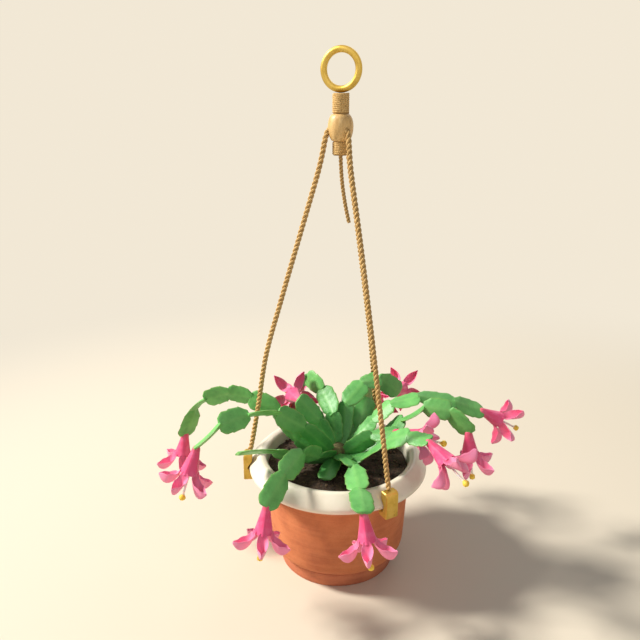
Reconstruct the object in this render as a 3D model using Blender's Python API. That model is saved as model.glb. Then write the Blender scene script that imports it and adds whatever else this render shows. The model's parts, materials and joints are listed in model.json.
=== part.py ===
"""Potted christmas cactus in a hanging terracotta pot, modelled in Blender (metres, +Z up).

The object's origin is the point it hangs from: the inner top of the brass ring. Everything is
modelled under one empty, in the pot's own frame, whose zero is the underside of the saucer.
Lengths below are in millimetres and become metres through MM.
"""

import math

import bpy
from mathutils import Vector

MM = 0.001

# Driving dimensions, in millimetres.
RIM_RADIUS = 80.0
POT_TOP = 89.0
SAUCER_RADIUS = 51.4
SOIL_TOP = 95.9
RING_CENTRE_HEIGHT = 427.1
RING_MAJOR = 14.3
RING_TUBE = 2.6
RING_YAW = math.radians(-24.0)
RING_STEPS = 32
RING_SIDES = 10
HANG_HEIGHT = RING_CENTRE_HEIGHT + RING_MAJOR - RING_TUBE
CORD_DIAMETER = 4.6
TAIL_DIAMETER = 3.4
CLIP_WIDTH = 12.0
CLIP_FOOT = 86.0
SEGMENT_HALF_WIDTH = 9.2
FULL_WIDTH_LENGTH = 23.0
FIRST_SEGMENT_SHARE = 0.72
SEGMENT_HALF_THICKNESS = 2.0
NECK_HALF_WIDTH = 2.4
NECK_HALF_THICKNESS = 1.7
TUBE_LENGTH = 21.5
MOUTH_RADIUS = 7.6
PETAL_COUNT = 5
PETAL_TURN = math.radians(-36.0)
CROWN_RADIUS = 8.0
SEAT_GAP = 0.35
SHARP_ANGLE = 35.0

# Turned profiles, (radius, height) from the saucer's underside.
SAUCER_PROFILE = [
    (0, 0), (SAUCER_RADIUS, 0), (52.2, 4.6), (53.5, 13.6), (51.4, 13.6), (49.6, 3.4), (48.6, 2.4),
    (0, 2.4),
]
POT_PROFILE = [
    (0, 2.7), (46.5, 2.7), (48.0, 4.0), (50.6, 14.6), (53.9, 14.9), (57.6, 16.8), (60.2, 21.5),
    (61.6, 40.0), (62.6, 60.0), (63.0, 80.0), (70.0, 84.6), (70.0, POT_TOP), (59.0, POT_TOP),
    (58.4, 60.0), (56.0, 22.0), (52.0, 19.0), (0, 19.0),
]
RIM_PROFILE = [
    (62.4, 89.3), (77.3, 89.3), (RIM_RADIUS, 93.9), (76.2, 99.2), (70.5, 104.9), (68.0, 105.3),
    (63.6, 103.6), (62.9, 96.0),
]
SOIL_PROFILE = [
    (0, 19.3), (51.7, 19.3), (55.6, 22.2), (58.0, 60.0), (58.6, 89.4), (62.0, 89.4), (62.1, 95.2),
    (40.0, 96.0), (0, SOIL_TOP),
]
COLLAR_PROFILE = [(0, 395.3), (6.4, 395.3), (6.5, 396.2), (6.5, 409.3), (6.1, 409.9), (0, 409.9)]
BEAD_PROFILE = [
    (0, 374.2), (6.4, 374.2), (8.4, 377.0), (9.6, 381.0), (10.0, 385.0), (9.7, 388.8), (8.6, 392.4),
    (6.6, 395.0), (0, 395.0),
]
CROWN_PROFILE = [
    (0, 96.2), (10.0, 96.4), (CROWN_RADIUS, 98.5), (CROWN_RADIUS, 108.0), (5.0, 111.0), (0, 112.0),
]
SLEEVE_PROFILE = [(0, 363.9), (6.0, 363.9), (6.4, 364.6), (6.4, 373.9), (0, 373.9)]

# Brass clip section in the plane through the pot's axis: it hooks under the rim.
CLIP_SECTION = [
    (84.3, 84.0), (84.3, 104.6), (82.6, 107.0), (76.4, 107.0), (76.4, 100.0), (80.4, 94.4), (80.4, 93.6),
    (77.8, 88.9), (73.6, 88.9), (73.6, 85.6), (75.4, 84.0),
]
# Each clip's azimuth in degrees, and how much further its foot reaches down.
CLIPS = {"left": (184.0, 1.6), "front": (-60.0, 0.0), "back": (60.0, 0.0)}

# Each hanger cord's route in its own vertical plane, (radius, height).
CORD_ROUTES = {
    "left": [(11.35, 378.5), (17, 353), (33.2, 298), (48, 248), (61.8, 199), (69.8, 152),
             (75.8, 119), (78.5, 107.75)],
    "front": [(11.35, 378.5), (15.9, 352), (30, 302), (44, 249), (60, 184), (69, 147), (75.5, 119),
              (78.5, 107.75)],
    "back": [(11.35, 378.5), (16.3, 353), (32, 300), (48, 244), (62, 192), (71, 150), (76.5, 119),
             (79, 107.75)],
}
# The loose tail under the sleeve, (x, y, height).
TAIL_ROUTE = [(0.2, 0, 363.55), (0.9, 0, 350), (2.2, 0, 338), (4.5, 0, 324), (7.4, 0, 310.8)]

# The plant: every stem is a chain of flat segments. It leaves the woody crown at the first height
# and runs through these joints (x, y, height); each segment is turned about its own length by the
# roll in degrees (0 lies flat, 90 stands on edge).
STEMS = {
    "a": (100, [(-37, 5, 114), (-54, 8, 142), (-78, 11, 152), (-98, 14, 156), (-119, 17, 147),
                (-131, 19, 136), (-140, 20, 112)], [-80, -75, 75, -85, -75, -20, -40]),
    "b": (107, [(-30, -17, 137), (-51, -29, 156), (-75, -43, 161), (-96, -56, 159), (-113, -65, 145)],
          [-65, 80, -35, 60, -30]),
    "d": (99, [(-28, -17, 106), (-54, -29, 120), (-84, -45, 127)], [-55, -50, -35]),
    "e": (104, [(-17, -26, 114), (-31, -42, 126), (-45, -69, 122), (-57, -89, 108)], [-45, -65, 50, 50]),
    "g": (104, [(6, -27, 111), (12, -46, 115), (15, -72, 110), (17, -98, 108)], [0, 20, -15, 5]),
    "h": (104, [(19, 3, 119), (32, 4, 134), (48, 7, 148), (72, 10, 153), (106, 16, 145), (131, 22, 134)],
          [-25, -25, -15, -10, -30, -35]),
    "j": (99, [(35, -4, 116), (57, -8, 140), (74, -14, 155), (95, -20, 154), (110, -25, 138)],
          [-30, -25, 5, -65, 75]),
    "k": (105, [(30, -14, 128), (47, -22, 135)], [80, -20]),
    "l": (101, [(22, -22, 110), (39, -39, 134), (55, -54, 148), (68, -66, 151)], [-15, -15, -35, -25]),
    "p": (106, [(-17, 5, 133), (-33, 2, 153)], [85, 55]),
    "q": (107, [(-4, 12, 137), (-14, 35, 150), (-28, 49, 157), (-34, 57, 143)], [40, 45, 75, -5]),
    "r": (101, [(-23, 29, 131)], [55]),
    "u": (107, [(8, 22, 142), (24, 36, 155), (40, 49, 155), (59, 60, 137)], [0, -25, -30, 85]),
    "v": (104, [(20, 22, 117), (28, 35, 141)], [-10, -25]),
    "m": (99, [(12, 32, 116), (24, 56, 130), (36, 76, 126)], [-20, -25, -75]),
    "f": (101, [(-12, -38, 99)], [0]),
}
# Every flower's stem, with its azimuth and elevation in degrees.
FLOWERS = {
    "a": (175, -79), "b": (212, -70), "e": (235, -77), "g": (300, -74), "h": (12, -30), "j": (-10, -82),
    "k": (-24, -2), "l": (-46, -30), "p": (109, -11), "q": (104, -45), "u": (74, -18), "m": (70, -40),
}

# Section of a segment, (fraction of half width, fraction of half thickness), once around.
SEGMENT_SECTION = [(1, 0), (0.55, 1), (-0.55, 1), (-1, 0), (-0.55, -1), (0.55, -1)]
# Stations along a segment: (fraction of its length, half width as a fraction of the full one).
SEGMENT_STATIONS = [(0.22, 0.62), (0.42, 0.98), (0.68, 1.0), (0.88, 0.66)]
# Petal stations past the tube's mouth: (along the axis, out from the axis, half width, thickness).
PETAL_STATIONS = [
    (5.0, 9.0, 3.4, 1.0), (10.0, 13.0, 4.3, 1.0), (11.0, 17.5, 4.0, 0.9), (7.5, 21.5, 2.6, 0.8),
    (3.0, 24.0, 0.6, 0.7),
]


def remove_scene_objects():
    for found in list(bpy.data.objects):
        bpy.data.objects.remove(found, do_unlink=True)


def make_material(name, colour, roughness, metallic=0.0):
    material = bpy.data.materials.new(name)
    material.use_nodes = True
    shader = material.node_tree.nodes["Principled BSDF"]
    shader.inputs["Base Color"].default_value = (*colour, 1.0)
    shader.inputs["Roughness"].default_value = roughness
    shader.inputs["Metallic"].default_value = metallic
    return material


def add_mesh(name, points, faces, material):
    """A mesh object under the hanging frame, from points in millimetres."""
    mesh = bpy.data.meshes.new(name)
    mesh.from_pydata([Vector(point) * MM for point in points], [], faces)
    mesh.materials.append(material)
    mesh.validate()
    made = bpy.data.objects.new(name, mesh)
    bpy.context.scene.collection.objects.link(made)
    made.parent = pot_frame
    return made


def skin_rings(rings, cap_ends=True):
    """Points and faces of a tube through equal rings of points, closed at both ends."""
    points = [point for ring in rings for point in ring]
    count = len(rings[0])
    faces = []
    for row in range(len(rings) - 1):
        for column in range(count):
            after = (column + 1) % count
            low, high = row * count, (row + 1) * count
            faces.append((low + column, low + after, high + after, high + column))
    if cap_ends:
        faces.append(tuple(reversed(range(count))))
        last = (len(rings) - 1) * count
        faces.append(tuple(last + column for column in range(count)))
    return points, faces


def turned_solid(name, profile, material, steps):
    """A solid of revolution. A profile that ends on the axis at both ends is closed by fans."""
    on_axis = profile[0][0] == 0
    walls = profile[1:-1] if on_axis else profile
    count = len(walls)
    points = []
    for step in range(steps):
        angle = 2 * math.pi * step / steps
        for radius, height in walls:
            points.append((radius * math.cos(angle), radius * math.sin(angle), height))
    faces = []
    rows = count - 1 if on_axis else count
    for step in range(steps):
        following = (step + 1) % steps
        for row in range(rows):
            above = (row + 1) % count
            faces.append((step * count + row, following * count + row,
                          following * count + above, step * count + above))
    if on_axis:
        first, last = len(points), len(points) + 1
        points += [(0, 0, profile[0][1]), (0, 0, profile[-1][1])]
        for step in range(steps):
            following = (step + 1) % steps
            faces.append((first, following * count, step * count))
            faces.append((last, step * count + count - 1, following * count + count - 1))
    return add_mesh(name, points, faces, material)


def smooth_route(route, spacing):
    """Points about spacing apart on a Catmull-Rom curve through the route."""
    knots = [Vector(point) for point in route]
    knots = [knots[0] * 2 - knots[1]] + knots + [knots[-1] * 2 - knots[-2]]
    smooth = [knots[1]]
    for index in range(1, len(knots) - 2):
        before, start, end, after = knots[index - 1:index + 3]
        pieces = max(1, round((end - start).length / spacing))
        for piece in range(1, pieces + 1):
            t = piece / pieces
            smooth.append(0.5 * (2 * start + (end - before) * t
                                 + (2 * before - 5 * start + 4 * end - after) * t * t
                                 + (3 * start - before - 3 * end + after) * t ** 3))
    return smooth


def cord(name, route, diameter, material):
    """A round curve with capped ends along the smoothed route."""
    curve = bpy.data.curves.new(name, "CURVE")
    curve.dimensions = "3D"
    curve.bevel_depth = diameter / 2 * MM
    curve.bevel_resolution = 2
    curve.use_fill_caps = True
    points = smooth_route(route, diameter * 2.5)
    spline = curve.splines.new("POLY")
    spline.points.add(len(points) - 1)
    for target, point in zip(spline.points, points):
        target.co = (*(point * MM), 1.0)
    curve.materials.append(material)
    made = bpy.data.objects.new(name, curve)
    bpy.context.scene.collection.objects.link(made)
    made.parent = pot_frame
    return made


def hanging_ring(name, material):
    """A closed ring that stands upright, turned by RING_YAW about the pot's axis."""
    rings = []
    for step in range(RING_STEPS):
        turn = 2 * math.pi * step / RING_STEPS
        ring = []
        for around in range(RING_SIDES):
            angle = 2 * math.pi * around / RING_SIDES
            reach = RING_MAJOR + RING_TUBE * math.cos(angle)
            across = reach * math.cos(turn)
            aside = RING_TUBE * math.sin(angle)
            ring.append((across * math.cos(RING_YAW) - aside * math.sin(RING_YAW),
                         across * math.sin(RING_YAW) + aside * math.cos(RING_YAW),
                         RING_CENTRE_HEIGHT + reach * math.sin(turn)))
        rings.append(ring)
    points, faces = skin_rings(rings + [rings[0]], cap_ends=False)
    total = RING_STEPS * RING_SIDES
    faces = [tuple(corner % total for corner in face) for face in faces]
    return add_mesh(name, points[:total], faces, material)


def clip(name, azimuth, longer, material):
    """A strap hooked under the rim; longer is how much further its foot reaches down."""
    turn = math.radians(azimuth)
    outward = Vector((math.cos(turn), math.sin(turn), 0))
    aside = Vector((-math.sin(turn), math.cos(turn), 0))
    rings = []
    for side in (-0.5, 0.5):
        rings.append([outward * radius + aside * side * CLIP_WIDTH
                      + Vector((0, 0, height - (longer if height < CLIP_FOOT else 0.0)))
                      for radius, height in CLIP_SECTION])
    points, faces = skin_rings(rings)
    return add_mesh(name, points, faces, material)


def segment_frame(start, end, roll, before=None):
    """Direction, width and thickness axes of a segment, its width turned least from the one before."""
    along = (end - start).normalized()
    flat = along.cross(Vector((0, 0, 1))).normalized()
    upright = flat.cross(along)
    turn = math.radians(roll)
    wide = flat * math.cos(turn) + upright * math.sin(turn)
    if before is not None and wide.dot(before) < 0:
        wide = -wide
    return along, wide, wide.cross(along)


def stem(name, seat_height, joints, rolls, material):
    """A chain of flat segments, as one closed skin that narrows at every joint."""
    joints = [Vector(joint) for joint in joints]
    out = Vector((joints[0].x, joints[0].y, 0)).normalized()
    seat = out * (CROWN_RADIUS + SEAT_GAP) + Vector((0, 0, seat_height))
    along, wide, thick = segment_frame(seat, joints[0], rolls[0])
    reach = max(-out.dot(wide * across * NECK_HALF_WIDTH + thick * through * NECK_HALF_THICKNESS)
                for across, through in SEGMENT_SECTION)
    joints = [seat + out * reach] + joints
    rings = []
    wide = None
    last = len(rolls) - 1
    for index, roll in enumerate(rolls):
        start, end = joints[index], joints[index + 1]
        along, wide, thick = segment_frame(start, end, roll, wide)
        length = (end - start).length
        full = SEGMENT_HALF_WIDTH * min(1.0, length / FULL_WIDTH_LENGTH)
        if index == 0:
            full *= FIRST_SEGMENT_SHARE
        stations = [(0.0 if index == 0 else 0.06, NECK_HALF_WIDTH, NECK_HALF_THICKNESS)]
        stations += [(where, full * share, SEGMENT_HALF_THICKNESS) for where, share in SEGMENT_STATIONS]
        stations += [(1.0 if index == last else 0.96, NECK_HALF_WIDTH, NECK_HALF_THICKNESS)]
        for where, half_width, half_thickness in stations:
            centre = start + along * length * where
            rings.append([centre + wide * across * half_width + thick * through * half_thickness
                          for across, through in SEGMENT_SECTION])
    points, faces = skin_rings(rings)
    return add_mesh(name, points, faces, material)


def flower_axes(azimuth, elevation):
    turn, tilt = math.radians(azimuth), math.radians(elevation)
    axis = Vector((math.cos(turn) * math.cos(tilt), math.sin(turn) * math.cos(tilt), math.sin(tilt)))
    aside = axis.cross(Vector((0, 0, 1))).normalized()
    return axis, aside, aside.cross(axis)


def flower_base(stem_name, azimuth, elevation):
    """Where the flower's tube starts: just past the end of its stem."""
    joints = STEMS[stem_name][1]
    tip, before = Vector(joints[-1]), Vector(joints[-2])
    axis = flower_axes(azimuth, elevation)[0]
    bend = axis.angle((tip - before).normalized())
    return tip + axis * (SEAT_GAP + NECK_HALF_WIDTH * min(1.0, abs(math.sin(bend))))


def flower(name, stem_name, azimuth, elevation, material):
    """A hollow tube whose rim carries five petals, as one closed skin."""
    axis, aside, upright = flower_axes(azimuth, elevation)
    base = flower_base(stem_name, azimuth, elevation)
    sides = PETAL_COUNT * 2

    def place(along, radius, side):
        angle = 2 * math.pi * side / sides + PETAL_TURN
        return base + axis * along + (aside * math.cos(angle) + upright * math.sin(angle)) * radius

    tube = [(0.0, 1.7), (9.0, 4.0), (TUBE_LENGTH, MOUTH_RADIUS), (TUBE_LENGTH, MOUTH_RADIUS - 1.1),
            (9.5, 2.9), (5.0, 1.4)]
    rings = [[place(along, radius, side) for side in range(sides)] for along, radius in tube]
    points, faces = skin_rings(rings)
    rim_row = 2
    for petal in range(PETAL_COUNT):
        side = petal * 2
        after = (side + 1) % sides
        rim = (rim_row * sides + side, rim_row * sides + after,
               (rim_row + 1) * sides + after, (rim_row + 1) * sides + side)
        faces.remove(rim)
        middle = 2 * math.pi * (side + 0.5) / sides + PETAL_TURN
        outward = aside * math.cos(middle) + upright * math.sin(middle)
        across = upright * math.cos(middle) - aside * math.sin(middle)
        loops = [rim]
        for index, (along, reach, half_width, thickness) in enumerate(PETAL_STATIONS):
            ahead = PETAL_STATIONS[min(index + 1, len(PETAL_STATIONS) - 1)]
            behind = PETAL_STATIONS[index - 1] if index else (0.0, MOUTH_RADIUS)
            run = (axis * (ahead[0] - behind[0]) + outward * (ahead[1] - behind[1])).normalized()
            face_out = run.cross(across)
            if face_out.dot(axis) < 0:
                face_out = -face_out
            centre = base + axis * (TUBE_LENGTH + along) + outward * reach
            loops.append(tuple(range(len(points), len(points) + 4)))
            half = thickness / 2
            points += [centre - across * half_width - face_out * half,
                       centre + across * half_width - face_out * half,
                       centre + across * half_width + face_out * half,
                       centre - across * half_width + face_out * half]
        for low, high in zip(loops, loops[1:]):
            for corner in range(4):
                following = (corner + 1) % 4
                faces.append((low[corner], low[following], high[following], high[corner]))
        faces.append(loops[-1])
    return add_mesh(name, points, faces, material)


def pistil(name, stem_name, azimuth, elevation, material):
    """The style and its round stigma, standing on the floor of the tube."""
    axis, aside, upright = flower_axes(azimuth, elevation)
    base = flower_base(stem_name, azimuth, elevation)
    profile = [(5.3, 0.9), (40.0, 0.9), (40.8, 2.0), (42.6, 2.6), (44.4, 2.0), (45.2, 0.8)]
    rings = []
    for along, radius in profile:
        rings.append([base + axis * along + (aside * math.cos(angle) + upright * math.sin(angle)) * radius
                      for angle in [2 * math.pi * side / 8 for side in range(8)]])
    points, faces = skin_rings(rings)
    return add_mesh(name, points, faces, material)


def face_outward(made):
    """Turns a closed mesh's faces outward, by the sign of its volume."""
    mesh = made.data
    volume = 0.0
    for polygon in mesh.polygons:
        corners = [mesh.vertices[index].co for index in polygon.vertices]
        for index in range(1, len(corners) - 1):
            volume += corners[0].dot(corners[index].cross(corners[index + 1]))
    if volume < 0:
        mesh.flip_normals()


def shade_round(made):
    """Smooth shading, broken where the surface turns sharply."""
    made.data.shade_smooth()
    made.data.set_sharp_from_angle(angle=math.radians(SHARP_ANGLE))


remove_scene_objects()
pot_frame = bpy.data.objects.new("pot_frame", None)
pot_frame.location = (0, 0, -HANG_HEIGHT * MM)
bpy.context.scene.collection.objects.link(pot_frame)

terracotta = make_material("terracotta", (0.56, 0.22, 0.11), 0.75)
saucer_clay = make_material("saucer_clay", (0.50, 0.18, 0.10), 0.75)
cream_glaze = make_material("cream_glaze", (0.87, 0.83, 0.70), 0.4)
potting_soil = make_material("potting_soil", (0.05, 0.03, 0.02), 0.95)
brass = make_material("brass", (0.62, 0.42, 0.12), 0.35, 1.0)
jute = make_material("jute", (0.60, 0.40, 0.18), 0.85)
bead_wood = make_material("bead_wood", (0.62, 0.42, 0.20), 0.6)
cladode_green = make_material("cladode_green", (0.13, 0.42, 0.11), 0.5)
crown_wood = make_material("crown_wood", (0.18, 0.22, 0.08), 0.85)
petal_pink = make_material("petal_pink", (0.85, 0.10, 0.28), 0.5)
stigma_yellow = make_material("stigma_yellow", (0.95, 0.75, 0.15), 0.6)

turned_solid("saucer", SAUCER_PROFILE, saucer_clay, 48)
turned_solid("pot", POT_PROFILE, terracotta, 48)
turned_solid("rim_band", RIM_PROFILE, cream_glaze, 60)
turned_solid("soil", SOIL_PROFILE, potting_soil, 36)
turned_solid("upper_collar", COLLAR_PROFILE, jute, 24)
turned_solid("bead", BEAD_PROFILE, bead_wood, 24)
turned_solid("lower_sleeve", SLEEVE_PROFILE, jute, 24)
hanging_ring("hanging_ring", brass)
for side_name, (azimuth_degrees, foot_longer) in CLIPS.items():
    clip("clip_" + side_name, azimuth_degrees, foot_longer, brass)
    plane = math.radians(azimuth_degrees)
    cord_route = [(radius * math.cos(plane), radius * math.sin(plane), height)
                  for radius, height in CORD_ROUTES[side_name]]
    cord("cord_" + side_name, cord_route, CORD_DIAMETER, jute)
cord("cord_tail", TAIL_ROUTE, TAIL_DIAMETER, jute)
turned_solid("crown", CROWN_PROFILE, crown_wood, 20)
for letter, (seat, stem_joints, stem_rolls) in STEMS.items():
    stem("stem_" + letter, seat, stem_joints, stem_rolls, cladode_green)
for letter, (azimuth_degrees, elevation_degrees) in FLOWERS.items():
    flower("flower_" + letter, letter, azimuth_degrees, elevation_degrees, petal_pink)
    pistil("pistil_" + letter, letter, azimuth_degrees, elevation_degrees, stigma_yellow)
for made_object in list(bpy.data.objects):
    if made_object.type == "MESH":
        face_outward(made_object)
        shade_round(made_object)
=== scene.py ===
"""Looks of the hanging potted christmas cactus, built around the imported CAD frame.

Lengths in the tables are millimetres in the pot's own frame, whose zero is the saucer's underside.
"""

import json
import math
import random

import bmesh
import bpy
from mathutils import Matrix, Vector, noise

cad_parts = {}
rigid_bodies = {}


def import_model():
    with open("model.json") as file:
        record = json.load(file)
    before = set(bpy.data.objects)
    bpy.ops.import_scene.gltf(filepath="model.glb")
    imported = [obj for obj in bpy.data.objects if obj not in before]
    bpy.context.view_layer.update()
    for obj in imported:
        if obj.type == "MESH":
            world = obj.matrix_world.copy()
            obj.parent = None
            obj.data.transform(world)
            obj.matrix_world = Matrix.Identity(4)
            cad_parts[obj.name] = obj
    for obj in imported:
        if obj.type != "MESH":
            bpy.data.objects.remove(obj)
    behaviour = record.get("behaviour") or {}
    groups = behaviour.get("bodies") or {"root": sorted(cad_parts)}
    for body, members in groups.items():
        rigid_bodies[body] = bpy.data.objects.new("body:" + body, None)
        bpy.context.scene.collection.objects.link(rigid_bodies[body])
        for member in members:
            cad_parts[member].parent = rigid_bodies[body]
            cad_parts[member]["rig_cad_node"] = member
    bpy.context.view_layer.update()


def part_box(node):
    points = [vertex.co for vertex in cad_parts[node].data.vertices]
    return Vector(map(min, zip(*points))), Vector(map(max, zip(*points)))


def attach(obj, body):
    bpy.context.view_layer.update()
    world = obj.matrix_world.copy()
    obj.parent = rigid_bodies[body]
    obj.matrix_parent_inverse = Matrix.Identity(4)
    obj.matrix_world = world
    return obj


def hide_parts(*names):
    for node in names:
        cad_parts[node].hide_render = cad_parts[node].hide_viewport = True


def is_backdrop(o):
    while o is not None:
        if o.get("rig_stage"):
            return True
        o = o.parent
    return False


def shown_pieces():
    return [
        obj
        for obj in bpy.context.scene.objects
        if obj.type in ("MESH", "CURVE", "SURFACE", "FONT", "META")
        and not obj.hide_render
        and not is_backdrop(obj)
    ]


MM = 0.001
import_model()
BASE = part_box("saucer")[0].z

# Camera and stage.
CAMERA_PLACE = (-0.0159, -0.549, -0.0298)
CAMERA_PITCH = 18.2
FIELD_OF_VIEW = 50.0
BACKGROUND = (0.888, 0.807, 0.668)
FLOOR_RADIUS = 2.2
FADE_START, FADE_END = 0.36, 0.95

# Hanger.
CORD_DIAMETER = 4.6
TAIL_DIAMETER = 3.4
STRANDS = 3
TWINE_RADIUS = 0.85
CLIP_WIDTH = 12.0
CLIP_FOOT = 86.0
CLIPS = {"left": (184.0, 1.6), "front": (-60.0, 0.0), "back": (60.0, 0.0)}
CORD_ROUTES = {
    "left": [(11.35, 378.5), (17, 353), (33.2, 298), (48, 248), (61.8, 199), (69.8, 152),
             (75.8, 119), (78.5, 107.75)],
    "front": [(11.35, 378.5), (15.9, 352), (30, 302), (44, 249), (60, 184), (69, 147), (75.5, 119),
              (78.5, 107.75)],
    "back": [(11.35, 378.5), (16.3, 353), (32, 300), (48, 244), (62, 192), (71, 150), (76.5, 119),
             (79, 107.75)],
}
TAIL_ROUTE = [(0.2, 0, 363.55), (0.9, 0, 350), (2.2, 0, 338), (4.5, 0, 324), (7.4, 0, 310.8)]
RING_CENTRE_HEIGHT = 427.1
RING_MAJOR = 14.3
RING_TUBE = 2.6
RING_YAW = math.radians(-24.0)

# Turned profiles, (radius, height).
SAUCER_PROFILE = [
    (0, 0), (51.4, 0), (52.2, 4.6), (53.5, 13.6), (51.4, 13.6), (49.6, 3.4), (48.6, 2.4),
    (0, 2.4),
]
POT_PROFILE = [
    (0, 2.7), (46.5, 2.7), (48.0, 4.0), (50.6, 14.6), (53.9, 14.9), (57.6, 16.8), (60.2, 21.5),
    (61.6, 40.0), (62.6, 60.0), (63.0, 80.0), (70.0, 84.6), (70.0, 89.0), (59.0, 89.0),
    (58.4, 60.0), (56.0, 22.0), (52.0, 19.0), (0, 19.0),
]
RIM_PROFILE = [
    (62.4, 89.3), (77.3, 89.3), (80.0, 93.9), (76.2, 99.2), (70.5, 104.9), (68.0, 105.3),
    (63.6, 103.6), (62.9, 96.0),
]
BEAD_PROFILE = [
    (0, 374.2), (6.4, 374.2), (8.4, 377.0), (9.6, 381.0), (10.0, 385.0), (9.7, 388.8), (8.6, 392.4),
    (6.6, 395.0), (0, 395.0),
]
CLIP_SECTION = [
    (84.3, 84.0), (84.3, 104.6), (82.6, 107.0), (76.4, 107.0), (76.4, 100.0), (80.4, 94.4), (80.4, 93.6),
    (77.8, 88.9), (73.6, 88.9), (73.6, 85.6), (75.4, 84.0),
]
SOIL_RADIUS = 62.0
SOIL_TOP = 95.3
# A crumb of soil is a twenty-sided lump.
GOLDEN = (1 + math.sqrt(5)) / 2
CRUMB_CORNERS = [
    (-1, GOLDEN, 0), (1, GOLDEN, 0), (-1, -GOLDEN, 0), (1, -GOLDEN, 0),
    (0, -1, GOLDEN), (0, 1, GOLDEN), (0, -1, -GOLDEN), (0, 1, -GOLDEN),
    (GOLDEN, 0, -1), (GOLDEN, 0, 1), (-GOLDEN, 0, -1), (-GOLDEN, 0, 1),
]
CRUMB_FACES = [
    (0, 11, 5), (0, 5, 1), (0, 1, 7), (0, 7, 10), (0, 10, 11), (1, 5, 9), (5, 11, 4), (11, 10, 2),
    (10, 7, 6), (7, 1, 8), (3, 9, 4), (3, 4, 2), (3, 2, 6), (3, 6, 8), (3, 8, 9), (4, 9, 5),
    (2, 4, 11), (6, 2, 10), (8, 6, 7), (9, 8, 1),
]

# The plant, as in the CAD: seat height on the crown, joints, and rolls of the segments.
CROWN_RADIUS = 8.0
STEMS = {
    "a": (100, [(-37, 5, 114), (-54, 8, 142), (-78, 11, 152), (-98, 14, 156), (-119, 17, 147),
                (-131, 19, 136), (-140, 20, 112)], [-80, -75, 75, -85, -75, -20, -40]),
    "b": (107, [(-30, -17, 137), (-51, -29, 156), (-75, -43, 161), (-96, -56, 159), (-113, -65, 145)],
          [-65, 80, -35, 60, -30]),
    "d": (99, [(-28, -17, 106), (-54, -29, 120), (-84, -45, 127)], [-55, -50, -35]),
    "e": (104, [(-17, -26, 114), (-31, -42, 126), (-45, -69, 122), (-57, -89, 108)], [-45, -65, 50, 50]),
    "g": (104, [(6, -27, 111), (12, -46, 115), (15, -72, 110), (17, -98, 108)], [0, 20, -15, 5]),
    "h": (104, [(19, 3, 119), (32, 4, 134), (48, 7, 148), (72, 10, 153), (106, 16, 145), (131, 22, 134)],
          [-25, -25, -15, -10, -30, -35]),
    "j": (99, [(35, -4, 116), (57, -8, 140), (74, -14, 155), (95, -20, 154), (110, -25, 138)],
          [-30, -25, 5, -65, 75]),
    "k": (105, [(30, -14, 128), (47, -22, 135)], [80, -20]),
    "l": (101, [(22, -22, 110), (39, -39, 134), (55, -54, 148), (68, -66, 151)], [-15, -15, -35, -25]),
    "p": (106, [(-17, 5, 133), (-33, 2, 153)], [85, 55]),
    "q": (107, [(-4, 12, 137), (-14, 35, 150), (-28, 49, 157), (-34, 57, 143)], [40, 45, 75, -5]),
    "r": (101, [(-23, 29, 131)], [55]),
    "u": (107, [(8, 22, 142), (24, 36, 155), (40, 49, 155), (59, 60, 137)], [0, -25, -30, 85]),
    "v": (104, [(20, 22, 117), (28, 35, 141)], [-10, -25]),
    "m": (99, [(12, 32, 116), (24, 56, 130), (36, 76, 126)], [-20, -25, -75]),
    "f": (101, [(-12, -38, 99)], [0]),
}
FLOWERS = {
    "a": (175, -79), "b": (212, -70), "e": (235, -77), "g": (300, -74), "h": (12, -30), "j": (-10, -82),
    "k": (-24, -2), "l": (-46, -30), "p": (109, -11), "q": (104, -45), "u": (74, -18), "m": (70, -40),
}
SEGMENT_HALF_WIDTH = 9.6
SEGMENT_HALF_THICKNESS = 1.9
NECK_HALF_WIDTH = 4.3
END_HALF_WIDTH = 5.6
PETAL_COUNT = 5
PETAL_TURN = math.radians(-36.0)
# The tube from the flower's base to its mouth: (along the axis, radius).
TUBE_LINE = [(-1.0, 1.2), (0.2, 2.6), (2.0, 3.2), (6.0, 3.9), (13.0, 5.4), (19.0, 6.7), (22.5, 7.5)]
TUBE_WALL = 0.5
# A petal's keel and its folded-back margins, each (along the axis, out from the axis), and the half
# width between the margins.
PETAL_LINE = [
    ((20.6, 6.9), (20.4, 6.9), 2.6), ((24.5, 7.3), (23.4, 7.9), 3.8), ((29.5, 8.7), (25.4, 10.0), 4.4),
    ((34.2, 11.8), (26.6, 12.8), 4.4), ((36.4, 16.0), (27.8, 16.2), 3.9), ((35.0, 20.0), (28.6, 19.6), 2.7),
    ((30.6, 23.6), (29.4, 23.2), 0.5),
]


def to_frame(point):
    return Vector(point) * MM + Vector((0, 0, BASE))


def smoothstep(low, high, value):
    share = min(1.0, max(0.0, (value - low) / (high - low)))
    return share * share * (3 - 2 * share)


# ---------------------------------------------------------------- camera, light, stage


def make_camera():
    data = bpy.data.cameras.new("camera")
    data.sensor_width = 36.0
    data.lens = data.sensor_width / 2 / math.tan(math.radians(FIELD_OF_VIEW / 2))
    data.clip_start = 0.01
    camera = bpy.data.objects.new("camera", data)
    camera.location = CAMERA_PLACE
    camera.rotation_euler = (math.radians(90 - CAMERA_PITCH), 0, 0)
    bpy.context.scene.collection.objects.link(camera)
    bpy.context.scene.camera = camera


def area_light(name, place, target, size, power, colour=(1, 1, 1)):
    data = bpy.data.lights.new(name, "AREA")
    data.shape = "DISK"
    data.size = size
    data.energy = power
    data.color = colour
    light = bpy.data.objects.new(name, data)
    light.location = place
    light.rotation_euler = (Vector(target) - Vector(place)).to_track_quat("-Z", "Y").to_euler()
    bpy.context.scene.collection.objects.link(light)


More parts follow.
